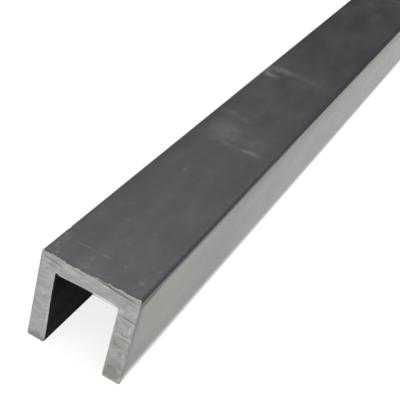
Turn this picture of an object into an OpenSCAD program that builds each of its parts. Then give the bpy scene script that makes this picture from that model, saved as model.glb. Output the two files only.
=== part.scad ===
// Aluminium U-channel: one extruded length of equal-leg channel, saw-cut square at both ends.
// It lies legs down, with its web on top and its length along Y. The origin is the middle of
// the footprint, at the level of the leg tips.

/* [Section] */
// Outside width, over the two legs
channel_w = 25.4; // [12:0.1:60]
// Outside height, from the leg tips to the back of the web
channel_h = 25.4; // [12:0.1:60]
// Thickness of the web
web_t = 4.76; // [1.5:0.01:5]
// Thickness of each leg
leg_t = 4.76; // [1.5:0.01:5]

/* [Corners] */
// Radius of the two corners where the web turns into the legs, outside
back_r = 0.6; // [0.2:0.1:1.2]
// Radius of the two fillets inside the slot
root_r = 0.5; // [0.2:0.1:1.5]
// Radius of the corners of the leg tips
tip_r = 0.5; // [0.2:0.1:0.7]

/* [Stock] */
// Length between the two saw cuts
stock_l = 304.8; // [50:0.1:1000]

/* [Hidden] */
slot_w = channel_w - 2 * leg_t;
slot_h = channel_h - web_t;
// How far a cut runs past the face that it opens
overrun = 1;
$fn = 64;

// The waste outside a rounded corner. The corner is at the origin and its material fills the
// quadrant of positive x and y.
module corner_waste(r) {
  difference() {
    translate([-overrun, -overrun]) square(r + overrun);
    translate([r, r]) circle(r);
  }
}

// The space between the legs, open at the tips, with rounded roots at the web.
module slot_outline() {
  difference() {
    translate([-slot_w / 2, -overrun]) square([slot_w, slot_h + overrun]);
    for (side = [0, 1])
      mirror([side, 0]) translate([-slot_w / 2, slot_h]) mirror([0, 1]) corner_waste(root_r);
  }
}

// Everything that rounds the left half of the outline: the back corner, then both corners of a tip.
module left_corners_waste() {
  translate([-channel_w / 2, channel_h]) mirror([0, 1]) corner_waste(back_r);
  translate([-channel_w / 2, 0]) corner_waste(tip_r);
  translate([-slot_w / 2, 0]) mirror([1, 0]) corner_waste(tip_r);
}

// The extrusion's section, legs down.
module channel_section() {
  difference() {
    translate([-channel_w / 2, 0]) square([channel_w, channel_h]);
    slot_outline();
    for (side = [0, 1]) mirror([side, 0]) left_corners_waste();
  }
}

module channel() {
  color([0.62, 0.62, 0.61])
    rotate([90, 0, 0]) linear_extrude(stock_l, center = true) channel_section();
}

channel();
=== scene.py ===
"""Dresses the aluminium U-channel: a mesh with sawn ends, its finishes, and a floor, light and camera."""

import math

import bpy
from mathutils import Matrix, Vector, noise


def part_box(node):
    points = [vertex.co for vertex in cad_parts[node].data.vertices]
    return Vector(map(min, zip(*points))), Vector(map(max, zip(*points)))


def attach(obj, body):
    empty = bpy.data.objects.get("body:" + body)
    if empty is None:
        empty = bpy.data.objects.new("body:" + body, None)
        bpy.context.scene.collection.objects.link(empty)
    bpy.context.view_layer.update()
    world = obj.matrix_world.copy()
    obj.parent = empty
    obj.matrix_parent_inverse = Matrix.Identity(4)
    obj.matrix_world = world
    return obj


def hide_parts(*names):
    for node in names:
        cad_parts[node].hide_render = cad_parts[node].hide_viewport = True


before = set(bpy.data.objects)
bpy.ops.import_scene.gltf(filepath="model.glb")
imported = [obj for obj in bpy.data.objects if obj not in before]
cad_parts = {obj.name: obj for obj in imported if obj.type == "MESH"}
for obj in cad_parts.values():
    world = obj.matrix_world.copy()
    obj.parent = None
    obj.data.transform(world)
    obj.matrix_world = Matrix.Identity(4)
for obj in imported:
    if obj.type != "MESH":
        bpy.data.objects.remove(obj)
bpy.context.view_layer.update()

# The section, in millimetres
MM = 0.001
node_low, node_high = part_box("channel")
WIDTH = (node_high.x - node_low.x) / MM
LENGTH = (node_high.y - node_low.y) / MM
HEIGHT = (node_high.z - node_low.z) / MM
WALL = 4.76
BACK_R = 0.6
ROOT_R = 0.5
TIP_R = 0.5
HALF = WIDTH / 2
SLOT_HALF = HALF - WALL
SLOT_TOP = HEIGHT - WALL
FRONT = -LENGTH / 2
# Lengths that differ by less than this are the same
CLOSE = 1e-6

# How finely the sawn ends are meshed, in steps
CORNER_STEPS = 4
LEG_STEPS = 12
SLOT_STEPS = 60
LEG_ROWS = 160
WEB_ROWS = 35
# The long faces keep one in this many points of the ends' outline, across and up
KEEP_COLUMN = 4
KEEP_ROW = 8
# Spacing of the rings along the length, and how far the first lies from the cut
RING_STEP = 2.0
RIM_DEPTH = 1.6
# Faces that meet at more than this angle, in degrees, have a sharp edge between them
SHARP_ANGLE = 28

# The saw's marks, in millimetres
SAW_SLANT = 0.08
TOOTH_PITCH = 1.1
FRONT_SEED = 2.5
BACK_SEED = 31.5
# Layers of relief: height, steps of noise per millimetre across and up, and what is added to the seed
SAW_LAYERS = [
    (0.012, 0.10, 3.1, 0),
    (0.03, 0.08, 0.8, 7),
]
GRIT_LAYER = (0.01, 2.4, 2.4, 3)
# How far scores stray up and down, written in the same way
STRAY_LAYER = (0.10, 0.6, 0.3, 11)
# Scores on the cuts: start (x, z), end (x, z), half width, depth. A negative depth is a ridge. Some scores
# run on past the edge of the metal.
FRONT_SCORES = [
    ((-12.9, 24.3), (-5.6, 23.4), 0.30, 0.045),
    ((-11.2, 22.9), (-8.3, 22.3), 0.18, 0.03),
    ((-5.5, 24.9), (-0.8, 24.1), 0.18, 0.02),
    ((-0.4, 25.3), (14.4, 24.1), 0.34, 0.05),
    ((7.2, 23.4), (13.0, 23.0), 0.20, 0.02),
    ((7.9, 19.4), (14.0, 18.6), 0.30, 0.04),
    ((8.3, 17.3), (8.5, 16.4), 0.22, 0.03),
    ((9.9, 14.2), (12.1, 14.1), 0.20, 0.04),
    ((8.1, 13.8), (13.2, 13.6), 0.26, -0.025),
    ((8.6, 13.2), (13.2, 12.8), 0.22, 0.03),
    ((10.8, 4.9), (12.1, 4.7), 0.20, 0.03),
]
BACK_SCORES = [
    ((-12.4, 23.9), (11.0, 24.2), 0.16, 0.04),
    ((-12.5, 16.8), (-8.1, 16.5), 0.16, 0.045),
    ((8.2, 9.6), (12.6, 9.3), 0.15, 0.04),
    ((8.2, 9.0), (12.6, 8.8), 0.24, -0.03),
]
# The broken edge round each cut: its width and its depth along the back of the web, along the outer sides
# and at the back corners
TOP_RIM = (0.55, 0.30)
SIDE_RIM = (0.25, 0.15)
CORNER_RIM = (1.0, 0.12)
# How uneven it is: layers of strength and steps of noise per millimetre
RAGGED_LAYERS = [(0.5, 0.4), (0.3, 1.3)]
CHIPPED_LAYERS = [(0.9, 0.7), (0.6, 1.9)]
LEAST_CHIP = 0.2

# Marks on a face: centre, angle of their length in degrees, half length, half width, strength. On the web
# a centre is (x, distance from the front end), on the right side it is (distance from the front end, z) and
# on the cuts it is (x, z).
WEB_SCRATCHES = [
    ((-6.4, 7.6), 1, 3.3, 0.26, 0.55),
    ((-0.7, 7.7), 1, 2.2, 0.24, 0.55),
    ((-7.0, 29.0), 30, 1.6, 0.34, 0.40),
    ((-8.2, 27.4), 25, 1.4, 0.32, 0.35),
    ((-4.2, 22.8), 25, 1.2, 0.34, 0.30),
    ((-10.0, 20.0), 20, 1.3, 0.34, 0.25),
    ((5.5, 262.0), 40, 3.0, 0.40, 0.35),
    ((-2.0, 284.0), 5, 4.0, 0.30, 0.40),
]
WEB_DUST = [
    ((-11.2, 4.5), 90, 8.0, 2.0, 0.42),
    ((10.2, 4.0), 90, 5.5, 2.2, 0.14),
    ((0.0, 1.2), 0, 12.0, 1.6, 0.16),
    ((-10.8, 300.0), 90, 6.0, 2.0, 0.40),
    ((9.5, 302.0), 20, 4.0, 1.6, 0.40),
]
WEB_SCUFFS = [
    ((-2.8, 5.2), 60, 1.1, 0.7, 0.40),
    ((-2.5, 3.4), 75, 1.7, 0.7, 0.30),
    ((4.1, 7.7), 0, 0.6, 0.5, 0.45),
    ((4.6, 6.4), 0, 0.5, 0.4, 0.30),
    ((9.8, 5.3), 30, 0.9, 0.7, 0.35),
    ((10.9, 11.6), 80, 1.2, 0.6, 0.35),
    ((-11.6, 8.0), 80, 1.2, 0.5, 0.45),
    ((-9.8, 1.3), 0, 0.7, 0.5, 0.40),
    ((4.0, 22.5), 20, 1.2, 0.6, 0.22),
    ((-4.2, 52.7), 20, 1.4, 0.9, 0.32),
    ((-5.0, 80.2), 10, 7.0, 9.0, 0.26),
    ((5.0, 79.0), 10, 5.5, 7.0, 0.20),
    ((-8.4, 90.5), 25, 3.8, 3.0, 0.26),
    ((-3.6, 90.0), 5, 4.0, 2.4, 0.20),
    ((-0.2, 73.5), 2, 9.0, 1.5, 0.20),
    ((6.0, 74.0), 5, 3.8, 1.8, 0.36),
    ((0.8, 75.2), 50, 1.4, 0.9, 0.25),
    ((-1.0, 132.0), -5, 12.0, 2.8, 0.17),
    ((-8.2, 130.8), -4, 6.0, 3.6, 0.44),
    ((-10.9, 124.8), -2, 5.6, 3.0, 0.85),
    ((-12.0, 128.0), 90, 4.5, 2.0, 0.60),
    ((3.0, 238.0), 12, 6.0, 2.0, 0.25),
    ((-6.0, 256.0), -20, 5.0, 4.5, 0.30),
]
WEB_STAINS = [
    ((8.1, 68.8), 90, 4.5, 2.2, 0.45),
    ((-0.2, 51.7), 80, 5.0, 3.5, 0.15),
    ((1.4, 45.8), 60, 4.5, 3.0, 0.20),
    ((-7.0, 34.0), 90, 24.0, 6.5, 0.32),
    ((6.0, 26.0), 90, 9.0, 4.0, 0.20),
    ((7.5, 45.0), 90, 10.0, 4.5, 0.28),
    ((6.0, 66.0), 90, 8.0, 6.0, 0.16),
    ((6.5, 180.0), 90, 26.0, 6.0, 0.24),
    ((1.4, 35.0), 90, 6.0, 5.0, 0.14),
    ((5.6, 60.0), 90, 9.0, 4.5, 0.20),
    ((4.0, 100.0), 90, 14.0, 5.0, 0.12),
    ((0.0, 158.0), 0, 24.0, 30.0, 0.36),
    ((9.6, 24.0), 90, 14.0, 3.0, 0.25),
    ((-9.8, 65.0), 90, 10.0, 3.0, 0.34),
    ((-3.0, 205.0), 90, 16.0, 6.0, 0.20),
]
SIDE_SCUFFS = [
    ((20.9, 18.8), 10, 4.5, 1.6, 0.16),
    ((9.4, 22.6), 5, 3.5, 1.0, 0.16),
    ((44.0, 20.0), 0, 8.0, 2.0, 0.12),
    ((120.0, 12.0), 3, 14.0, 2.5, 0.12),
    ((246.0, 15.0), 30, 3.0, 0.5, 0.30),
]
# On the right side: small stain marks, and broad patches and a strip low down near the front that are
# painted shade
SIDE_STAINS_AND_SHADE = [
    ((16.0, 21.0), 10, 2.6, 1.2, 0.22),
    ((35.0, 16.7), 5, 3.5, 2.2, 0.20),
    ((34.0, 12.0), 0, 26.0, 14.0, 0.32),
    ((42.0, 13.0), 0, 16.0, 12.0, 0.34),
    ((70.0, 13.0), 0, 36.0, 14.0, 0.34),
    ((5.0, 6.0), 0, 12.0, 7.0, 0.38),
    ((30.0, 5.5), 0, 36.0, 4.0, 0.58),
    ((170.0, 9.0), 0, 18.0, 3.0, 0.14),
]
FRONT_DARK_MARKS = [
    ((10.2, 2.1), 0, 3.4, 2.4, 0.80),
    ((-10.2, 0.3), 0, 3.6, 1.9, 0.95),
    ((8.5, 0.9), 60, 0.9, 0.6, 0.50),
    ((12.5, 14.6), 0, 0.5, 0.4, 0.60),
    ((12.5, 11.3), 0, 0.5, 0.4, 0.60),
    ((12.1, 10.4), 10, 0.5, 0.3, 0.50),
    ((12.5, 9.0), 80, 0.6, 0.4, 0.70),
    ((9.2, 10.7), 0, 0.5, 0.4, 0.50),
    ((10.7, 8.8), 5, 0.9, 0.5, 0.60),
    ((12.7, 3.9), 85, 1.0, 0.4, 0.90),
    ((-10.9, 21.0), -20, 0.7, 0.3, 0.50),
    ((-10.3, 16.8), -10, 0.7, 0.3, 0.40),
    ((-9.1, 14.3), 0, 0.6, 0.3, 0.50),
    ((-10.1, 13.2), 5, 0.8, 0.3, 0.40),
    ((-11.3, 10.6), -5, 1.4, 0.3, 0.50),
    ((-11.3, 7.4), -5, 1.2, 0.3, 0.40),
    ((-9.2, 4.8), 60, 0.8, 0.4, 0.40),
    ((-11.9, 25.0), 10, 0.8, 0.4, 0.25),
    ((-0.5, 25.4), -10, 1.0, 0.5, 0.90),
    ((10.4, 11.8), 0, 3.0, 2.2, 0.28),
    ((10.4, 5.0), 0, 3.0, 2.4, 0.50),
    ((9.4, 10.4), 0, 2.2, 1.8, 0.45),
    ((9.4, 3.9), 5, 1.5, 0.7, 0.60),
    ((-10.0, 1.7), 0, 1.0, 0.4, 0.40),
    ((-11.9, 0.6), 0, 0.5, 0.4, 0.50),
]
# Painted highlights on the front cut
FRONT_SHINE = [
    ((12.0, 12.3), 40, 0.6, 0.3, 0.50),
    ((12.0, 11.2), 40, 0.5, 0.3, 0.50),
    ((11.9, 8.4), 60, 0.6, 0.3, 0.70),
    ((12.0, 18.5), 10, 0.6, 0.3, 0.50),
    ((11.2, 20.8), 0, 2.4, 1.4, 0.14),
    ((11.8, 16.2), 85, 1.8, 0.7, 0.35),
    ((8.6, 20.3), 60, 1.0, 0.6, 0.50),
    ((12.3, 1.5), 70, 1.0, 0.5, 0.90),
    ((11.7, 3.5), -5, 1.0, 0.4, 0.70),
    ((-10.3, 14.0), 80, 1.0, 0.6, 0.35),
    ((-8.7, 19.4), 80, 0.8, 0.4, 0.50),
    ((-8.4, 10.0), 90, 9.0, 0.5, 0.35),
    ((-6.0, 23.6), -5, 4.0, 0.6, 0.30),
    ((4.2, 24.6), -8, 1.2, 0.3, 0.50),
]
# A burr on the front cut, above the slot, with a painted highlight
SLOT_BURR = ((4.2, 21.0), -1, 4.4, 0.28, 0.80)
BACK_DARK_MARKS = [
    ((-10.3, 1.2), 4, 3.4, 2.2, 0.70),
    ((10.4, 15.4), 30, 0.9, 0.4, 0.50),
    ((-9.6, 6.0), 60, 0.8, 0.3, 0.50),
    ((3.0, 22.4), 0, 4.5, 0.5, 0.25),
]
# Painted highlights on the back cut
BACK_SHINE = [
    ((10.6, 12.0), 80, 1.6, 0.8, 0.30),
    ((-4.0, 23.0), 0, 4.0, 0.5, 0.25),
    ((-11.8, 9.8), 70, 0.6, 0.2, 0.50),
]

# Dents on the long back corners: side, distance from the front end, half length, depth
NICKS = [
    (1, 20.6, 0.7, 0.07),
    (1, 47.0, 0.5, 0.05),
    (1, 152.0, 1.2, 0.08),
    (-1, 11.0, 0.8, 0.06),
    (-1, 98.0, 0.6, 0.06),
    (-1, 236.0, 1.0, 0.09),
]
NICK_STEPS = 3
# Which finish a face has, in the order of the mesh's materials
OUTSIDE, SLOT, SAWN = range(3)


def stations(*stretches):
    """Places along a line, from stretches of (start, end, steps) that follow on from each other."""
    places = []
    for start, end, steps in stretches:
        places += [start + (end - start) * step / steps for step in range(steps)]
    return places + [stretches[-1][1]]


def across_stations():
    """Places across the section, from the left leg's outer face to the right leg's."""
    return stations(
        (-HALF, TIP_R - HALF, CORNER_STEPS),
        (TIP_R - HALF, -SLOT_HALF - TIP_R, LEG_STEPS),
        (-SLOT_HALF - TIP_R, -SLOT_HALF, CORNER_STEPS),
        (-SLOT_HALF, ROOT_R - SLOT_HALF, CORNER_STEPS),
        (ROOT_R - SLOT_HALF, SLOT_HALF - ROOT_R, SLOT_STEPS),
        (SLOT_HALF - ROOT_R, SLOT_HALF, CORNER_STEPS),
        (SLOT_HALF, SLOT_HALF + TIP_R, CORNER_STEPS),
        (SLOT_HALF + TIP_R, HALF - TIP_R, LEG_STEPS),
        (HALF - TIP_R, HALF, CORNER_STEPS),
    )


def upward_stations():
    """Places up the section, from the leg tips to the back of the web."""
    return stations(
        (0, TIP_R, CORNER_STEPS),
        (TIP_R, SLOT_TOP - ROOT_R, LEG_ROWS),
        (SLOT_TOP - ROOT_R, SLOT_TOP, CORNER_STEPS),
        (SLOT_TOP, HEIGHT - BACK_R, WEB_ROWS),
        (HEIGHT - BACK_R, HEIGHT, CORNER_STEPS + 1),
    )


def rounded_outer(x, z):
    """The point (x, z) of the sharp section, moved into the round of an outer corner that it lies in."""
    corners = [(side * HALF, HEIGHT, -side, -1, BACK_R) for side in (-1, 1)]
    corners += [(side * HALF, 0, -side, 1, TIP_R) for side in (-1, 1)]
    corners += [(side * SLOT_HALF, 0, side, 1, TIP_R) for side in (-1, 1)]
    for corner_x, corner_z, into_x, into_z, radius in corners:
        # 1 at the sharp corner, and 0 where its round begins
        near_x = 1 - (x - corner_x) * into_x / radius
        near_z = 1 - (z - corner_z) * into_z / radius
        if 0 < near_x <= 1 + CLOSE and 0 < near_z <= 1 + CLOSE:
            round_x = near_x * math.sqrt(1 - near_z * near_z / 2)
            round_z = near_z * math.sqrt(1 - near_x * near_x / 2)
            return corner_x + into_x * radius * (1 - round_x), corner_z + into_z * radius * (1 - round_z)
    return x, z


def rounded_root(x, z):
    """A point of the slot's outline, moved onto the fillet of a root that it lies in."""
    for side in (-1, 1):
        below = SLOT_TOP - z
        inward = SLOT_HALF - side * x
        if abs(inward) < CLOSE and 0 <= below < ROOT_R:
            turn = 0.25 * math.pi * (1 - below / ROOT_R)
        elif abs(below) < CLOSE and 0 <= inward < ROOT_R:
            turn = 0.25 * math.pi * (1 + inward / ROOT_R)
        else:
            continue
        reach_x = SLOT_HALF - ROOT_R + ROOT_R * math.cos(turn)
        return side * reach_x, SLOT_TOP - ROOT_R + ROOT_R * math.sin(turn)
    return x, z


def section_point(x, z):
    """Where the lattice point (x, z) of the sharp section lies on the real one."""
    return rounded_root(*rounded_outer(x, z))


def segment_distance(x, z, start, end):
    """Distance of (x, z) from the straight line between two points."""
    run_x, run_z = end[0] - start[0], end[1] - start[1]
    share = ((x - start[0]) * run_x + (z - start[1]) * run_z) / (run_x**2 + run_z**2)
    share = min(1, max(0, share))
    return math.hypot(x - start[0] - share * run_x, z - start[1] - share * run_z)


def edge_distances(x, z):
    """Distance of a section point from the web's back, and from the nearer outer side of the section."""
    return HEIGHT - z, HALF - abs(x)


def uneven(layers, x, z, seed):
    """A factor of about 1 that varies over a cut."""
    factor = 1
    for strength, rate in layers:
        factor += strength * noise.noise((rate * x, rate * z, seed))
    return factor


def broken_edge(x, z, seed):
    """How far the rim of a cut is worn back at (x, z)."""
    to_top, to_side = edge_distances(x, z)
    top_width, top_depth = TOP_RIM
    side_width, side_depth = SIDE_RIM
    corner_width, corner_depth = CORNER_RIM
    ragged = uneven(RAGGED_LAYERS, x, z, seed)
    chipped = uneven(CHIPPED_LAYERS, x, 0, seed)
    top = top_depth * max(LEAST_CHIP, chipped) * max(0, 1 - to_top / top_width)
    side = side_depth * max(0, 1 - to_side / side_width)
    corner = corner_depth * max(0, 1 - math.hypot(to_top, to_side) / corner_width)
    return ragged * (max(top, side) + corner)


def layer_height(layer, x, z, seed):
    """Height of one layer of relief at (x, z)."""
    height, across_rate, up_rate, own_seed = layer
    return height * noise.noise((across_rate * x, up_rate * z, seed + own_seed))


def saw_relief(x, z, scores, seed):
    """Height of a sawn end at (x, z), outward from the plane of the cut."""
    leaning_z = z + SAW_SLANT * x
    height = sum(layer_height(layer, x, leaning_z, seed) for layer in SAW_LAYERS)
    height += layer_height(GRIT_LAYER, x, z, seed)
    stray = layer_height(STRAY_LAYER, x, z, seed)
    for start, end, half_width, depth in scores:
        nearness = segment_distance(x, z + stray, start, end) / half_width
        height -= depth * max(0, 1 - nearness * nearness)
    return height - broken_edge(x, z, seed)


def nick_depth(side, y):
    """How deep the back corner on one side is dented, y millimetres along the length."""
    depth = 0
    for nick_side, from_front, half_length, deepest in NICKS:
        reach = abs(y - FRONT - from_front) / half_length
        if nick_side == side and reach < 1:
            depth += deepest * (1 - reach * reach)
    return depth


def ring_stations():
    """Places of the rings along the length, closer together at the dents."""
    start, end = FRONT + RIM_DEPTH, -FRONT - RIM_DEPTH
    steps = round((end - start) / RING_STEP)
    places = set(round(start + (end - start) * step / steps, 3) for step in range(steps + 1))
    for _, from_front, half_length, _ in NICKS:
        for step in range(-NICK_STEPS, NICK_STEPS + 1):
            places.add(round(FRONT + from_front + half_length * step / NICK_STEPS, 3))
    return sorted(places)


class ChannelMesh:
    """Vertices and faces of the channel: two sawn ends on a lattice, and rings along the length."""

    def __init__(self):
        self.across = across_stations()
        self.upward = upward_stations()
        self.slot_columns = [self.column_at(-SLOT_HALF), self.column_at(SLOT_HALF)]
        self.slot_row = min(range(len(self.upward)), key=lambda row: abs(self.upward[row] - SLOT_TOP))
        self.points = []
        self.faces = []
        self.finishes = []

    def column_at(self, x):
        return min(range(len(self.across)), key=lambda column: abs(self.across[column] - x))

    def in_slot(self, column, row):
        """Whether the cell up and right of a lattice point lies in the open slot."""
        left, right = self.slot_columns
        return left <= column < right and row < self.slot_row

    def add_point(self, x, y, z):
        self.points.append((x * MM, y * MM, z * MM))
        return len(self.points) - 1

    def add_face(self, corners, finish):
        self.faces.append(corners)
        self.finishes.append(finish)

    def outline(self):
        """Lattice points round the section: up the left, along the back, down the right, round the slot."""
        left, right = self.slot_columns
        last_column, last_row = len(self.across) - 1, len(self.upward) - 1
        loop = [(0, row) for row in range(last_row)]
        loop += [(column, last_row) for column in range(last_column)]
        loop += [(last_column, row) for row in range(last_row, 0, -1)]
        loop += [(column, 0) for column in range(last_column, right, -1)]
        loop += [(right, row) for row in range(self.slot_row)]
        loop += [(column, self.slot_row) for column in range(right, left, -1)]
        loop += [(left, row) for row in range(self.slot_row, 0, -1)]
        loop += [(column, 0) for column in range(left, 0, -1)]
        return loop

    def on_corner(self, column, row):
        """Whether an outline point lies in a rounded corner, or ends one."""
        x, z = self.across[column], self.upward[row]
        near = max(BACK_R, ROOT_R, TIP_R) + CLOSE
        near_x = min(HALF - abs(x), abs(abs(x) - SLOT_HALF)) < near
        near_z = min(z, abs(z - SLOT_TOP), HEIGHT - z) < near
        return near_x and near_z

    def on_slot(self, column, row):
        """Whether an outline point lies on the faces of the slot."""
        left, right = self.slot_columns
        return left <= column <= right and row <= self.slot_row

    def kept(self, column, row):
        """Whether the long faces keep an outline point of the ends."""
        on_level = row in (0, self.slot_row, len(self.upward) - 1)
        step = column % KEEP_COLUMN if on_level else row % KEEP_ROW
        return self.on_corner(column, row) or step == 0

    def sawn_end(self, outward, scores, seed):
        """Meshes one cut and returns its vertex at each lattice point."""
        vertices = {}
        cells = []
        for column in range(len(self.across) - 1):
            for row in range(len(self.upward) - 1):
                if not self.in_slot(column, row):
                    beyond, above = column + 1, row + 1
                    cells.append([(column, row), (beyond, row), (beyond, above), (column, above)])
        for cell in cells:
            for column, row in cell:
                if (column, row) not in vertices:
                    x, z = section_point(self.across[column], self.upward[row])
                    y = outward * (LENGTH / 2 + saw_relief(x, z, scores, seed))
                    vertices[column, row] = self.add_point(x, y, z)
            corners = [vertices[place] for place in cell]
            self.add_face(corners if outward < 0 else corners[::-1], SAWN)
        return vertices

    def ring(self, y, places):
        """One ring of the long faces, with its dents."""
        made = []
        for column, row in places:
            x, z = section_point(self.across[column], self.upward[row])
            if HEIGHT - z < BACK_R and HALF - abs(x) < BACK_R:
                side = 1 if x > 0 else -1
                dent = nick_depth(side, y)
                x -= side * dent
                z -= dent
            made.append(self.add_point(x, y, z))
        return made

    def build(self):
        """Meshes both cuts, and the long faces between them."""
        loop = self.outline()
        kept = [index for index, place in enumerate(loop) if self.kept(*place)]
        front = self.sawn_end(-1, FRONT_SCORES, FRONT_SEED)
        back = self.sawn_end(1, BACK_SCORES, BACK_SEED)
        rings = [self.ring(y, [loop[index] for index in kept]) for y in ring_stations()]
        for here, index in enumerate(kept):
            there = (here + 1) % len(kept)
            stop = kept[there] if there else len(loop)
            edge = [loop[step % len(loop)] for step in range(index, stop + 1)]
            finish = SLOT if all(self.on_slot(*place) for place in edge) else OUTSIDE
            self.add_face([front[place] for place in edge] + [rings[0][there], rings[0][here]], finish)
            for near, far in zip(rings, rings[1:]):
                self.add_face([near[here], near[there], far[there], far[here]], finish)
            back_edge = [back[place] for place in reversed(edge)]
            self.add_face([rings[-1][here], rings[-1][there]] + back_edge, finish)
        return self


def make_channel():
    """The channel as one closed mesh, with mill finish on the outer long faces, painted shade in the slot
    and saw marks on the ends.
    """
    built = ChannelMesh().build()
    mesh = bpy.data.meshes.new("channel_body")
    mesh.from_pydata(built.points, [], built.faces)
    for finish in (mill_finish(), slot_painted_shade(), sawn_finish()):
        mesh.materials.append(finish)
    mesh.polygons.foreach_set("material_index", built.finishes)
    mesh.shade_smooth()
    mesh.set_sharp_from_angle(angle=math.radians(SHARP_ANGLE))
    channel = bpy.data.objects.new("channel_body", mesh)
    bpy.context.scene.collection.objects.link(channel)
    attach(channel, "root")
    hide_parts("channel")


class Shader:
    """A material in the making, with short ways to add and join nodes. Its places are in millimetres."""

    def __init__(self, name):
        self.material = bpy.data.materials.new(name)
        self.material.use_nodes = True
        self.tree = self.material.node_tree
        self.surface = self.tree.nodes["Principled BSDF"]
        coordinates = self.node("TexCoord")
        self.place = self.vector("SCALE", coordinates.outputs["Object"], Scale=1 / MM)

    def put(self, socket, value):
        if isinstance(value, bpy.types.NodeSocket):
            self.tree.links.new(value, socket)
        else:
            socket.default_value = value

    def node(self, kind, **settings):
        made = self.tree.nodes.new("ShaderNode" + kind)
        for name, value in settings.items():
            setattr(made, name, value)
        return made

    def vector(self, operation, first, second=None, **sockets):
        made = self.node("VectorMath", operation=operation)
        self.put(made.inputs[0], first)
        if second is not None:
            self.put(made.inputs[1], second)
        for name, value in sockets.items():
            self.put(made.inputs[name], value)
        return made.outputs["Value" if operation == "LENGTH" else "Vector"]

    def math(self, operation, first, second=0.0):
        made = self.node("Math", operation=operation)
        self.put(made.inputs[0], first)
        self.put(made.inputs[1], second)
        return made.outputs["Value"]

    def total(self, values, operation="ADD"):
        result = values[0]
        for value in values[1:]:
            result = self.math(operation, result, value)
        return result

    def ramp(self, value, start, end, low=0.0, high=1.0):
        """A smooth step of a value, from low at start to high at end."""
        made = self.node("MapRange", interpolation_type="SMOOTHSTEP")
        ends = {"Value": value, "From Min": start, "From Max": end, "To Min": low, "To Max": high}
        for name, item in ends.items():
            self.put(made.inputs[name], item)
        return made.outputs["Result"]

    def blend(self, share, first, second):
        """A mix of two colours."""
        made = self.node("Mix", data_type="RGBA")
        self.put(made.inputs["Factor"], share)
        self.put(made.inputs[6], first)
        self.put(made.inputs[7], second)
        return made.outputs[2]

    def grain(self, size, detail=2.0, roughness=0.5, place=None):
        """Noise whose features are about size millimetres along x, y and z, about 0 to 1."""
        stretched = self.vector("DIVIDE", place or self.place, size)
        made = self.node("TexNoise")
        settings = {"Vector": stretched, "Scale": 1.0, "Detail": detail, "Roughness": roughness}
        for name, value in settings.items():
            self.put(made.inputs[name], value)
        return made.outputs[0]

    def axes(self):
        made = self.node("SeparateXYZ")
        self.put(made.inputs[0], self.place)
        return made.outputs

    def flat(self, across, along):
        """A place on a plane, for marks."""
        made = self.node("CombineXYZ")
        self.put(made.inputs["X"], across)
        self.put(made.inputs["Y"], along)
        return made.outputs[0]

    def leaning(self, slope):
        """The place in a frame turned about y, so that level bands fall by the slope towards positive x."""
        made = self.node("Mapping")
        self.put(made.inputs["Vector"], self.place)
        self.put(made.inputs["Rotation"], (0, -math.atan(slope), 0))
        return made.outputs["Vector"]

    def warped(self, place, size, reach):
        """A place on a plane moved about by noise, which gives marks ragged outlines."""
        made = self.node("TexNoise")
        self.put(made.inputs["Vector"], self.vector("DIVIDE", place, (size, size, size)))
        self.put(made.inputs["Scale"], 1.0)
        moved = self.vector("SUBTRACT", made.outputs["Color"], (0.5, 0.5, 0.5))
        return self.vector("ADD", place, self.vector("MULTIPLY", moved, (reach, reach, 0)))

    def marks(self, place, marks, core):
        """The strengths of elliptical marks on a plane, added up. Each is full as far out as its core."""
        layers = []
        for (across, along), angle, half_length, half_width, strength in marks:
            made = self.node("Mapping", vector_type="TEXTURE")
            self.put(made.inputs["Vector"], place)
            self.put(made.inputs["Location"], (across, along, 0))
            self.put(made.inputs["Rotation"], (0, 0, math.radians(angle)))
            self.put(made.inputs["Scale"], (half_length, half_width, 1))
            from_centre = self.vector("LENGTH", made.outputs["Vector"])
            layers.append(self.ramp(from_centre, 1.0, core, 0.0, strength))
        return self.total(layers)

    def masked(self, mask, value):
        return self.math("MULTIPLY", mask, value)

    def bump(self, height, distance):
        made = self.node("Bump")
        self.put(made.inputs["Height"], height)
        self.put(made.inputs["Distance"], distance)
        return made.outputs["Normal"]

    def finish(self, color, roughness, normal):
        self.put(self.surface.inputs["Base Color"], color)
        self.put(self.surface.inputs["Roughness"], roughness)
        self.put(self.surface.inputs["Normal"], normal)
        self.surface.inputs["Metallic"].default_value = 1.0
        return self.material


# The mill finish. Its steps are written as start, end and, where they aren't 0 and 1, the values there.
# They run over millimetres, or over noise from 0 to 1. Sizes of noise are along x, y and z, and bumps are
# heights, all in millimetres.
CLOUD_SIZE = (7, 18, 7)
MOTTLE_SIZE = (2.0, 4.5, 2.0)
HUE_SIZE = (9, 20, 9)
HUE_SHIFT = (40, 0, 0)
DIE_LINE_SIZE = (0.5, 90, 0.5)
FINE_SIZE = (0.25, 0.6, 0.25)
SPECK_SIZE = (0.9, 1.3, 0.9)
CLOUD_SHARE = 0.6
MOTTLE_SHARE = 0.4
FINE_SHARE = 0.4
TONE_STEP = (0.3, 0.7)
HUE_STEP = (0.35, 0.65)
SPECK_STEP = (0.36, 0.66)
SCUFF_PATCHES = (0.25, 0.7, 0.5, 1.25)
SKIN_ROUGHNESS = (0.2, 0.8, 0.27, 0.36)
SCUFF_ROUGHNESS = 0.16
SKIN_BUMP = 0.004
# How far out a mark is at full strength, as a share of its size
SKIN_CORE = 0.15
# How near to a face its marks begin, and how near they are full
MARKS_BEGIN = 0.4
MARKS_FULL = 0.1
# What makes marks ragged: the size of the noise that moves them and how far it does
SCRATCH_WARP = (4.0, 0.8)
WEB_WARP = (1.3, 1.8)
SIDE_WARP = (2.5, 3.0)
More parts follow.
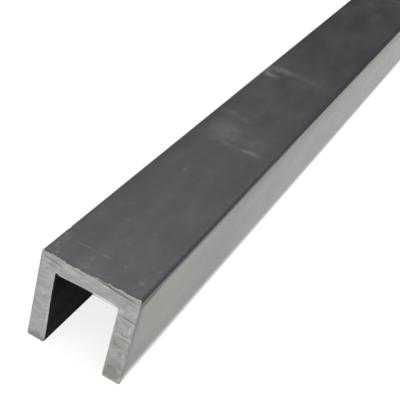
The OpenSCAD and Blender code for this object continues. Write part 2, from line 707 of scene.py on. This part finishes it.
# Colours of the skin where it is cool and where it is warm, each from its darkest to its palest
COOL_SKIN = ((0.262, 0.267, 0.257, 1), (0.322, 0.327, 0.315, 1))
WARM_SKIN = ((0.269, 0.265, 0.258, 1), (0.329, 0.324, 0.316, 1))
SCUFF_COLOR = (0.60, 0.60, 0.595, 1)
# Colour of the stain marks, and of the painted shade among them
STAIN_AND_SHADE_COLOR = (0.20, 0.20, 0.205, 1)
# A painted reflection tone on the sides, darker and warmer than the web, and how much of it is laid on
SIDE_REFLECTION_COLOR = (0.226, 0.223, 0.186, 1)
SIDE_REFLECTION_SHARE = 0.44
PALE_CORNER_COLOR = (0.50, 0.50, 0.49, 1)
# Painted reflection of the floor at the foot of the sides
FOOT_REFLECTION_COLOR = (0.85, 0.85, 0.84, 1)
WEB_SHADE_COLOR = (0.17, 0.17, 0.17, 1)
SIDE_SHADE_COLOR = (0.20, 0.20, 0.195, 1)
# Painted shade in the dark line on the right corner
CORNER_SHADE_COLOR = (0.075, 0.075, 0.070, 1)
# The tint of mirror images at a grazing angle, on clear skin and in the shade on the sides
CLEAR_TINT = (0.85, 0.85, 0.85, 1)
SHADED_TINT = (0.47, 0.47, 0.47, 1)

# Steps over the distance from a side, and over x
ON_SIDE = (0.3, 0.05)
RIGHT_HALF = (-1.0, 1.0)
LEFT_HALF = (1.0, -1.0)
# Steps of the shades at the long corners. Those named ALONG run over the distance from the front end, and
# the others over the distance round a corner, which is negative on the web and positive down the side.
WEB_SHADE_START_ALONG = (80, 110, -1.1, -1.8)
WEB_SHADE_FULL_ALONG = (80, 110, -0.45, -0.7)
WEB_SHADE_FALL = (0.3, -0.1)
WEB_SHADE_SHARE = 0.70
PALE_CORNER_RISE = (-1.3, -0.4)
PALE_CORNER_FALL = (0.8, 0.2)
PALE_CORNER_ALONG = (10, 120, 0.10, 0.55)
SIDE_SHADE_FULL_ALONG = [(5, 14, 1.3, 0.0), (20, 65, 0.7, -0.3)]
SIDE_SHADE_END_ALONG = [(2, 12, 0.6, 0.0), (75, 105, 2.8, 1.6)]
CORNER_RISE = (-0.05, 0.30)
CORNER_FALL = (1.2, 0.4)
CORNER_ALONG = (40, 100, 0.9, 0.35)
BRIGHT_RISE = (0.9, 1.2)
BRIGHT_FALL = (1.6, 1.3)
BRIGHT_ALONG = (20, 10, 0.0, 0.45)
FAR_SHADE_FALL = (9, 1)
FAR_SHADE_ALONG = (35, 65, 0.0, 0.28)
# Steps over the distance from a cut, from the nearer side of the web, and over the height
END_BAND = (3.0, 0.7)
END_BAND_UP = (10, 20, 0.25, 0.55)
WEB_EDGE = (4.7, 0.5, 0.0, 0.35)
WEB_EDGE_ALONG = (10, 40)
WEB_RIM = (1.4, 0.3, 0.0, 0.35)
FOOT_UP = (3.2, 0.3)
FOOT_ALONG = (10, 170, 0.95, 0.50)


class CornerShades:
    """Painted shades and other bands along the skin's long corners and edges, the painted reflection of the
    floor at the foot of the sides, and the distances that they follow.
    """

    def __init__(self, shader, x, y, z, from_front):
        self.shader = shader
        self.x = x
        self.z = z
        self.from_front = from_front
        self.to_side = shader.math("SUBTRACT", HALF, shader.math("ABSOLUTE", x))
        to_top = shader.math("SUBTRACT", HEIGHT, z)
        self.round_corner = shader.math("SUBTRACT", to_top, self.to_side)
        self.to_end = shader.math("SUBTRACT", LENGTH / 2, shader.math("ABSOLUTE", y))
        self.on_side = shader.ramp(self.to_side, *ON_SIDE)
        self.on_right_half = shader.ramp(x, *RIGHT_HALF)

    def along(self, step):
        return self.shader.ramp(self.from_front, *step)

    def band(self, rise, fall):
        """A band along the corners, which rises and falls over the distance round them."""
        risen = self.shader.ramp(self.round_corner, *rise)
        return self.shader.masked(risen, self.shader.ramp(self.round_corner, *fall))

    def web_shade(self):
        """A dark band on the web at its right corner, wider further back."""
        rise = (self.along(WEB_SHADE_START_ALONG), self.along(WEB_SHADE_FULL_ALONG))
        share = self.shader.masked(WEB_SHADE_SHARE, self.on_right_half)
        return self.shader.masked(self.band(rise, WEB_SHADE_FALL), share)

    def pale_left_corner(self):
        """A pale band on the left corner, paler further back."""
        worn = self.shader.masked(self.band(PALE_CORNER_RISE, PALE_CORNER_FALL), self.shader.ramp(self.x, *LEFT_HALF))
        return self.shader.masked(worn, self.along(PALE_CORNER_ALONG))

    def side_shade(self):
        """Darker bands on the sides: under the corners, beside the cuts and further back."""
        full = self.shader.total([self.along(step) for step in SIDE_SHADE_FULL_ALONG])
        end = self.shader.total([self.along(step) for step in SIDE_SHADE_END_ALONG])
        under_corner = self.band(CORNER_RISE, (end, full))
        bright_line = self.shader.masked(self.band(BRIGHT_RISE, BRIGHT_FALL), self.along(BRIGHT_ALONG))
        under_corner = self.shader.masked(under_corner, self.shader.math("SUBTRACT", 1.0, bright_line))
        up_the_end = self.shader.ramp(self.z, *END_BAND_UP)
        end_band = self.shader.masked(self.shader.ramp(self.to_end, *END_BAND), up_the_end)
        far_fall = self.shader.ramp(self.round_corner, *FAR_SHADE_FALL)
        far_shade = self.shader.masked(far_fall, self.along(FAR_SHADE_ALONG))
        bands = self.shader.math("MAXIMUM", end_band, far_shade)
        return self.shader.math("MAXIMUM", under_corner, self.shader.masked(self.on_side, bands))

    def corner_shade_line(self):
        """A dark line of painted shade on the right corner itself, weaker further back."""
        line = self.shader.masked(self.band(CORNER_RISE, CORNER_FALL), self.along(CORNER_ALONG))
        return self.shader.masked(line, self.on_right_half)

    def web_edges(self):
        """Darker strips on the web, along its sides and its ends."""
        sides = self.shader.masked(self.shader.ramp(self.to_side, *WEB_EDGE), self.along(WEB_EDGE_ALONG))
        return self.shader.math("MAXIMUM", sides, self.shader.ramp(self.to_end, *WEB_RIM))

    def foot(self):
        """The pale foot of the sides, next to the floor: a painted reflection of the floor."""
        strip = self.shader.masked(self.shader.ramp(self.z, *FOOT_UP), self.along(FOOT_ALONG))
        return self.shader.masked(self.on_side, strip)


def mill_finish():
    """Dull extruded skin: clouds, die lines along the length, handling marks, painted shade at the corners,
    and painted reflections down the sides and at their foot.
    """
    shader = Shader("mill_finish")
    x, y, z = shader.axes()
    from_front = shader.math("SUBTRACT", y, FRONT)
    on_web = shader.ramp(z, HEIGHT - MARKS_BEGIN, HEIGHT - MARKS_FULL)
    on_right = shader.ramp(x, HALF - MARKS_BEGIN, HALF - MARKS_FULL)
    web_plane = shader.flat(x, from_front)
    straight_place = shader.warped(web_plane, *SCRATCH_WARP)
    web_place = shader.warped(web_plane, *WEB_WARP)
    side_place = shader.warped(shader.flat(from_front, z), *SIDE_WARP)
    clouds = shader.grain(CLOUD_SIZE, detail=4, roughness=0.6)
    mottle = shader.grain(MOTTLE_SIZE, detail=4, roughness=0.6)
    hue = shader.grain(HUE_SIZE, detail=2, place=shader.vector("ADD", shader.place, HUE_SHIFT))
    streaks = shader.grain(DIE_LINE_SIZE, detail=3)
    fine = shader.grain(FINE_SIZE)
    tone = shader.total([shader.masked(CLOUD_SHARE, clouds), shader.masked(MOTTLE_SHARE, mottle)])
    tone = shader.ramp(tone, *TONE_STEP)

    rubbed = shader.total([
        shader.masked(on_web, shader.marks(web_place, WEB_SCUFFS, SKIN_CORE)),
        shader.masked(on_right, shader.marks(side_place, SIDE_SCUFFS, SKIN_CORE)),
    ])
    rubbed = shader.masked(rubbed, shader.ramp(mottle, *SCUFF_PATCHES))
    scratches = shader.masked(on_web, shader.marks(straight_place, WEB_SCRATCHES, SKIN_CORE))
    specks = shader.ramp(shader.grain(SPECK_SIZE, detail=3), *SPECK_STEP)
    dust = shader.masked(on_web, shader.marks(web_place, WEB_DUST, SKIN_CORE))
    scuffs = shader.total([rubbed, scratches, shader.masked(dust, specks)])
    stains_and_shade = shader.total([
        shader.masked(on_web, shader.marks(web_place, WEB_STAINS, SKIN_CORE)),
        shader.masked(on_right, shader.marks(side_place, SIDE_STAINS_AND_SHADE, SKIN_CORE)),
    ])
    shades = CornerShades(shader, x, y, z, from_front)
    stains_and_shade = shader.total([stains_and_shade, shader.masked(on_web, shades.web_edges())])
    side_shade = shades.side_shade()

    cool = shader.blend(tone, *COOL_SKIN)
    warm = shader.blend(tone, *WARM_SKIN)
    color = shader.blend(shader.ramp(hue, *HUE_STEP), cool, warm)
    color = shader.blend(scuffs, color, SCUFF_COLOR)
    # Stain marks, and painted shade among them on the right side
    color = shader.blend(stains_and_shade, color, STAIN_AND_SHADE_COLOR)
    # Painted reflection tone on the sides
    color = shader.blend(shader.masked(SIDE_REFLECTION_SHARE, shades.on_side), color, SIDE_REFLECTION_COLOR)
    color = shader.blend(shades.pale_left_corner(), color, PALE_CORNER_COLOR)
    # Painted reflection of the floor at the foot of the sides
    color = shader.blend(shades.foot(), color, FOOT_REFLECTION_COLOR)
    # Painted shade at the corners: on the web, down the sides and on the right corner itself
    color = shader.blend(shades.web_shade(), color, WEB_SHADE_COLOR)
    color = shader.blend(side_shade, color, SIDE_SHADE_COLOR)
    color = shader.blend(shades.corner_shade_line(), color, CORNER_SHADE_COLOR)
    rougher = shader.masked(SCUFF_ROUGHNESS, scuffs)
    roughness = shader.total([shader.ramp(clouds, *SKIN_ROUGHNESS), rougher])
    shader.put(shader.surface.inputs["Specular Tint"], shader.blend(side_shade, CLEAR_TINT, SHADED_TINT))
    height = shader.total([streaks, shader.masked(FINE_SHARE, fine)])
    return shader.finish(color, roughness, shader.bump(height, SKIN_BUMP * MM))


# The skin inside the slot, painted dark as shade
SLOT_CLOUD_SIZE = (8, 30, 8)
SLOT_SHADE_SKIN = ((0.074, 0.074, 0.077, 1), (0.098, 0.097, 0.100, 1))
SLOT_ROUGHNESS = (0.2, 0.8, 0.28, 0.36)
SLOT_SHADE_TINT = (0.2, 0.2, 0.2, 1)


def slot_painted_shade():
    """The skin inside the slot, darkened with painted shade."""
    shader = Shader("slot_painted_shade")
    clouds = shader.grain(SLOT_CLOUD_SIZE, detail=3)
    streaks = shader.grain(DIE_LINE_SIZE, detail=3)
    color = shader.blend(clouds, *SLOT_SHADE_SKIN)
    roughness = shader.ramp(clouds, *SLOT_ROUGHNESS)
    shader.surface.inputs["Specular Tint"].default_value = SLOT_SHADE_TINT
    return shader.finish(color, roughness, shader.bump(streaks, SKIN_BUMP * MM))


# The sawn finish. Its steps and sizes are written as the mill finish's are.
ON_FRONT = (1.0, -1.0)
CUT_WARP = (0.6, 1.2)
LINE_SIZE = (6, 6, 0.3)
CUT_MOTTLE_SIZE = (1.2, 1.2, 0.6)
PATCH_SIZE = (3.0, 9.0, 1.6)
RIM_NOISE_SIZE = (0.45, 0.45, 0.45)
CUT_MOTTLE_SHARE = 0.40
LINE_SHARE = 0.15
PATCH_SHARE = 0.45
CUT_TONE_STEP = (0.35, 0.65)
CUT_ROUGHNESS = (0.0, 1.0, 0.42, 0.60)
LINE_BUMP = 0.006
CUT_CORE = 0.4
CUT_SKIN = ((0.304, 0.304, 0.293, 1), (0.420, 0.420, 0.405, 1))
# Painted highlights on the ridges and at the shine marks
HIGHLIGHT_COLOR = (0.60, 0.60, 0.59, 1)
DARK_MARK_COLOR = (0.235, 0.239, 0.212, 1)
# Painted highlight on the pale rim below the web's back
TOP_RIM_HIGHLIGHT_COLOR = (0.46, 0.46, 0.45, 1)
# Painted highlight on the pale rim round the slot
SLOT_RIM_HIGHLIGHT_COLOR = (0.50, 0.50, 0.49, 1)
# Painted highlight on the burr
BURR_HIGHLIGHT_COLOR = (0.76, 0.76, 0.75, 1)
# Painted shade at the outer edges of the legs
SIDE_EDGE_SHADE_COLOR = (0.17, 0.17, 0.165, 1)
# Painted shade in the grooves
GROOVE_SHADE_COLOR = (0.19, 0.19, 0.18, 1)
# Painted shade at the left of the web's back
TOP_EDGE_SHADE_COLOR = (0.158, 0.160, 0.160, 1)
# Painted shade at the left of the slot
SLOT_EDGE_SHADE_COLOR = (0.02, 0.02, 0.02, 1)
# How much wider a score is drawn than cut, how much further it runs, and its strength from its depth
SCORE_SPREAD = 1.2
SCORE_RUN = 0.2
SCORE_STRENGTH = 17
SCORE_LIMIT = 0.85
# The painted shade at the left of the slot on the front cut, as on a rolled edge: over x and z, where it is
# and how wide
ROLLED_LEG_ACROSS = (-7.0, -7.9)
ROLLED_LEG_UP = (2, 17, 0.05, 0.50)
ROLLED_WEB_ACROSS = (1.7, 1.3)
ROLLED_WEB_WIDTH = (-7.9, -0.8, 0.20, 0.46)
ROLLED_WEB_UP = (19.5, 20.5)
SLOT_EDGE = (0.0, -0.08)
# The pale rim next to it, a painted highlight, over the distance from it and over z
SLOT_RIM_STEP = (0.30, 0.12)
SLOT_RIM_UP = (6, 12)
SLOT_RIM_RAGGED = 0.4
# The painted shade at the left of the web's back on the front cut, as on a rolled edge, over x, and the
# pale rim of painted highlight below it
ROLLED_TOP_WIDTH = (2.0, -0.5, 0.12, 0.42)
ROLLED_TOP_LEFT = (-9, -5, 0.45, 1.0)
ROLLED_TOP_RIGHT = (6, 4)
ROLLED_TOP_SHOWN = (0.05, 0.15)
TOP_EDGE = (0.02, -0.10)
TOP_RIM_STEP = (0.50, 0.28)
TOP_RAGGED = 0.8
# The painted shade at the outer edges of the legs, over the distance from them. The saw's teeth break up
# the left one.
RIGHT_SIDE = (0.0, 1.0)
LEFT_SIDE = (0.0, -1.0)
RIGHT_EDGE = (0.3, 0.0, 0.0, 0.40)
LEFT_EDGE = (0.6, 0.2, 0.0, 0.65)
SIDE_RAGGED = 0.7
TEETH_RAGGED = 2.0
TEETH_STEP = (0.1, 0.9)


def score_marks(scores, ridges):
    """The scores of a cut as marks: its ridges, or its grooves."""
    marks = []
    for (start_x, start_z), (end_x, end_z), half_width, depth in scores:
        if (depth < 0) == ridges:
            centre = ((start_x + end_x) / 2, (start_z + end_z) / 2)
            angle = math.degrees(math.atan2(end_z - start_z, end_x - start_x))
            half_length = math.hypot(end_x - start_x, end_z - start_z) / 2 + SCORE_RUN
            strength = min(SCORE_LIMIT, SCORE_STRENGTH * abs(depth))
            marks.append((centre, angle, half_length, SCORE_SPREAD * half_width, strength))
    return marks


def cut_marks(shader, place, on_front, front_marks, back_marks):
    """Marks of the front cut on the front, and of the back cut on the back."""
    on_back = shader.math("SUBTRACT", 1.0, on_front)
    front = shader.masked(on_front, shader.marks(place, front_marks, CUT_CORE))
    return shader.total([front, shader.masked(on_back, shader.marks(place, back_marks, CUT_CORE))])


def cut_scores(shader, place, on_front, ridges):
    """The ridges of both cuts, or their grooves."""
    front, back = score_marks(FRONT_SCORES, ridges), score_marks(BACK_SCORES, ridges)
    return cut_marks(shader, place, on_front, front, back)


def past(shader, value, limit):
    """How far a value is past a limit, and 0 before it."""
    return shader.math("MAXIMUM", shader.math("SUBTRACT", value, limit), 0.0)


def slot_edges(shader, x, z, on_front, rim_noise):
    """Painted shade at the slot's left on the front cut, as on a rolled edge, and the pale rim round the
    slot, a painted highlight.
    """
    beside_slot = past(shader, shader.math("ABSOLUTE", x), SLOT_HALF)
    to_slot = shader.vector("LENGTH", shader.flat(beside_slot, past(shader, z, SLOT_TOP)))
    rolled_leg = shader.masked(shader.ramp(x, *ROLLED_LEG_ACROSS), shader.ramp(z, *ROLLED_LEG_UP))
    rolled_web = shader.masked(shader.ramp(x, *ROLLED_WEB_ACROSS), shader.ramp(x, *ROLLED_WEB_WIDTH))
    rolled_web = shader.masked(shader.ramp(z, *ROLLED_WEB_UP), rolled_web)
    rolled = shader.masked(on_front, shader.math("MAXIMUM", rolled_leg, rolled_web))
    to_edge = shader.math("SUBTRACT", to_slot, rolled)
    ragged = shader.total([to_edge, shader.masked(SLOT_RIM_RAGGED, rim_noise)])
    rim = shader.masked(shader.ramp(ragged, *SLOT_RIM_STEP), shader.ramp(z, *SLOT_RIM_UP))
    return shader.ramp(to_edge, *SLOT_EDGE), rim


def top_edges(shader, x, z, on_front, rim_noise):
    """Painted shade at the back's left on the front cut, as on a rolled edge, and the pale rim below the
    back, a painted highlight.
    """
    rolled = shader.masked(shader.ramp(x, *ROLLED_TOP_WIDTH), shader.ramp(x, *ROLLED_TOP_LEFT))
    rolled = shader.masked(on_front, shader.masked(rolled, shader.ramp(x, *ROLLED_TOP_RIGHT)))
    ragged = shader.total([shader.math("SUBTRACT", HEIGHT, z), shader.masked(TOP_RAGGED, rim_noise)])
    to_edge = shader.math("SUBTRACT", ragged, rolled)
    edge = shader.masked(shader.ramp(rolled, *ROLLED_TOP_SHOWN), shader.ramp(to_edge, *TOP_EDGE))
    return edge, shader.ramp(to_edge, *TOP_RIM_STEP)


def side_edge_shade(shader, x, z, rim_noise):
    """Painted shade at the outer edges of the legs."""
    to_side = shader.math("SUBTRACT", HALF, shader.math("ABSOLUTE", x))
    ragged = shader.total([to_side, shader.masked(SIDE_RAGGED, rim_noise)])
    right_edge = shader.masked(shader.ramp(x, *RIGHT_SIDE), shader.ramp(ragged, *RIGHT_EDGE))
    teeth = shader.math("SINE", shader.math("MULTIPLY", z, 2 * math.pi / TOOTH_PITCH))
    teeth = shader.ramp(shader.total([teeth, shader.masked(TEETH_RAGGED, rim_noise)]), *TEETH_STEP)
    left_edge = shader.masked(shader.ramp(x, *LEFT_SIDE), shader.ramp(ragged, *LEFT_EDGE))
    return shader.math("ADD", right_edge, shader.masked(left_edge, teeth))


def sawn_finish():
    """A sawn face: lines across the section, scores, dark marks, and painted highlights on pale rims and
    bright spots and painted shade at dark edges and in the grooves.
    """
    shader = Shader("sawn_finish")
    x, y, z = shader.axes()
    on_front = shader.ramp(y, *ON_FRONT)
    place = shader.flat(x, z)
    ragged_place = shader.warped(place, *CUT_WARP)
    leaning_place = shader.leaning(SAW_SLANT)
    lines = shader.grain(LINE_SIZE, detail=3, place=leaning_place)
    mottle = shader.grain(CUT_MOTTLE_SIZE, detail=3)
    patches = shader.grain(PATCH_SIZE, detail=3, place=leaning_place)
    rim_noise = shader.math("SUBTRACT", shader.grain(RIM_NOISE_SIZE, detail=3), 0.5)
    slot_edge_shade, lit_slot_rim = slot_edges(shader, x, z, on_front, rim_noise)
    top_edge_shade, lit_top_rim = top_edges(shader, x, z, on_front, rim_noise)
    burr = shader.masked(on_front, shader.marks(place, [SLOT_BURR], CUT_CORE))
    edges = side_edge_shade(shader, x, z, rim_noise)
    grooves = cut_scores(shader, place, on_front, False)
    ridges = cut_scores(shader, place, on_front, True)
    dark_marks = cut_marks(shader, ragged_place, on_front, FRONT_DARK_MARKS, BACK_DARK_MARKS)
    shine = cut_marks(shader, ragged_place, on_front, FRONT_SHINE, BACK_SHINE)
    tone = shader.total([
        shader.masked(CUT_MOTTLE_SHARE, mottle),
        shader.masked(LINE_SHARE, lines),
        shader.masked(PATCH_SHARE, patches),
    ])
    color = shader.blend(shader.ramp(tone, *CUT_TONE_STEP), *CUT_SKIN)
    # Painted highlights on the ridges and at the shine marks
    color = shader.blend(shader.math("MAXIMUM", ridges, shine), color, HIGHLIGHT_COLOR)
    color = shader.blend(dark_marks, color, DARK_MARK_COLOR)
    # Painted highlight on the pale rim below the web's back
    color = shader.blend(lit_top_rim, color, TOP_RIM_HIGHLIGHT_COLOR)
    # Painted highlight on the pale rim round the slot
    color = shader.blend(lit_slot_rim, color, SLOT_RIM_HIGHLIGHT_COLOR)
    # Painted highlight on the burr
    color = shader.blend(burr, color, BURR_HIGHLIGHT_COLOR)
    # Painted shade at the outer edges of the legs
    color = shader.blend(edges, color, SIDE_EDGE_SHADE_COLOR)
    # Painted shade in the grooves
    color = shader.blend(grooves, color, GROOVE_SHADE_COLOR)
    # Painted shade at the left of the web's back
    color = shader.blend(top_edge_shade, color, TOP_EDGE_SHADE_COLOR)
    # Painted shade at the left of the slot
    color = shader.blend(slot_edge_shade, color, SLOT_EDGE_SHADE_COLOR)
    worn = shader.total([lit_top_rim, lit_slot_rim, grooves, ridges], "MAXIMUM")
    roughness = shader.ramp(worn, *CUT_ROUGHNESS)
    return shader.finish(color, roughness, shader.bump(lines, LINE_BUMP * MM))


# The stage: a pale floor, three lamps and a dim room with a white band at the horizon
FLOOR_RADIUS = 8.0
FLOOR_SIDES = 96
FLOOR_COLOR = (0.95, 0.95, 0.95, 1)
FLOOR_WHITE = 0.65
# Lamps: name, strength, width of the lamp in degrees, height above the horizon, turn to the left of the
# front, and whether the metal mirrors it. The key lamp's image would bleach the web in views from behind.
LAMPS = [
    ("key", 3.2, 12, 30, -8, False),
    ("front", 1.0, 90, 40, -6, True),
    ("top", 0.6, 60, 80, -60, True),
]
# The room's brightness: how high the direction points, as the sine of its angle, and the colour there
ROOM = [
    (0.06, (1.0, 1.0, 1.0, 1)),
    (0.10, (0.026, 0.025, 0.030, 1)),
    (0.28, (0.030, 0.028, 0.035, 1)),
    (0.64, (0.422, 0.429, 0.462, 1)),
    (1.00, (0.510, 0.520, 0.545, 1)),
]


def floor_paint():
    """Pale paint. The camera and the metal see it as partly plain white, so its shadows are pale."""
    material = bpy.data.materials.new("floor_paint")
    material.use_nodes = True
    nodes, links = material.node_tree.nodes, material.node_tree.links
    surface = nodes["Principled BSDF"]
    surface.inputs["Base Color"].default_value = FLOOR_COLOR
    surface.inputs["Roughness"].default_value = 1.0
    surface.inputs["Specular IOR Level"].default_value = 0.0
    path = nodes.new("ShaderNodeLightPath")
    seen = path.outputs["Is Camera Ray"]
    for ray in ("Is Glossy Ray", "Is Transmission Ray"):
        either = nodes.new("ShaderNodeMath")
        either.operation = "MAXIMUM"
        links.new(seen, either.inputs[0])
        links.new(path.outputs[ray], either.inputs[1])
        seen = either.outputs[0]
    share = nodes.new("ShaderNodeMath")
    share.operation = "MULTIPLY"
    share.inputs[1].default_value = FLOOR_WHITE
    white = nodes.new("ShaderNodeEmission")
    mix = nodes.new("ShaderNodeMixShader")
    links.new(seen, share.inputs[0])
    links.new(share.outputs[0], mix.inputs["Fac"])
    links.new(surface.outputs[0], mix.inputs[1])
    links.new(white.outputs[0], mix.inputs[2])
    links.new(mix.outputs[0], nodes["Material Output"].inputs["Surface"])
    return material


def make_floor():
    """A round floor under the channel."""
    bpy.ops.mesh.primitive_circle_add(vertices=FLOOR_SIDES, radius=FLOOR_RADIUS, fill_type="NGON")
    floor = bpy.context.object
    floor.name = "floor"
    floor.data.materials.append(floor_paint())


def make_lamps():
    """Soft lamps, far enough away that their light is the same all along the channel."""
    for name, strength, width, height_angle, turn, mirrored in LAMPS:
        light = bpy.data.lights.new(name, "SUN")
        light.energy = strength
        light.angle = math.radians(width)
        lamp = bpy.data.objects.new(name, light)
        lamp.visible_glossy = mirrored
        turned = Matrix.Rotation(math.radians(-turn), 4, "Z")
        lamp.matrix_world = turned @ Matrix.Rotation(math.radians(90 - height_angle), 4, "X")
        bpy.context.scene.collection.objects.link(lamp)


def make_surroundings():
    """A dim room, darkest just above a white band at the horizon."""
    world = bpy.data.worlds.new("room")
    world.use_nodes = True
    bpy.context.scene.world = world
    nodes, links = world.node_tree.nodes, world.node_tree.links
    direction = nodes.new("ShaderNodeTexCoord")
    axes = nodes.new("ShaderNodeSeparateXYZ")
    rise = nodes.new("ShaderNodeValToRGB")
    stops = rise.color_ramp.elements
    while len(stops) < len(ROOM):
        stops.new(1.0)
    for stop, (height, color) in zip(stops, ROOM):
        stop.position = height
        stop.color = color
    links.new(direction.outputs["Generated"], axes.inputs[0])
    links.new(axes.outputs["Z"], rise.inputs["Fac"])
    links.new(rise.outputs["Color"], nodes["Background"].inputs["Color"])


# The camera, from a fit to the edges of the channel in the picture
CAMERA_AT = (60.9, -287.0, 150.0)
CAMERA_TURN = 17.44
CAMERA_DOWN = 33.79
CAMERA_ROLL = 16.46
CAMERA_LENS = 80.64
SENSOR = 36
CLIP_START = 0.01


def make_camera():
    """The scene's camera, as the fit found it."""
    data = bpy.data.cameras.new("camera")
    data.sensor_width = SENSOR
    data.lens = CAMERA_LENS
    data.clip_start = CLIP_START
    camera = bpy.data.objects.new("camera", data)
    turn = Matrix.Rotation(math.radians(CAMERA_TURN), 4, "Z")
    tilt = Matrix.Rotation(math.radians(90 - CAMERA_DOWN), 4, "X")
    roll = Matrix.Rotation(math.radians(CAMERA_ROLL), 4, "Z")
    camera.matrix_world = Matrix.Translation(Vector(CAMERA_AT) * MM) @ turn @ tilt @ roll
    bpy.context.scene.collection.objects.link(camera)
    bpy.context.scene.camera = camera


make_camera()
make_floor()
make_lamps()
make_surroundings()
make_channel()
bpy.context.scene.view_settings.view_transform = "Standard"
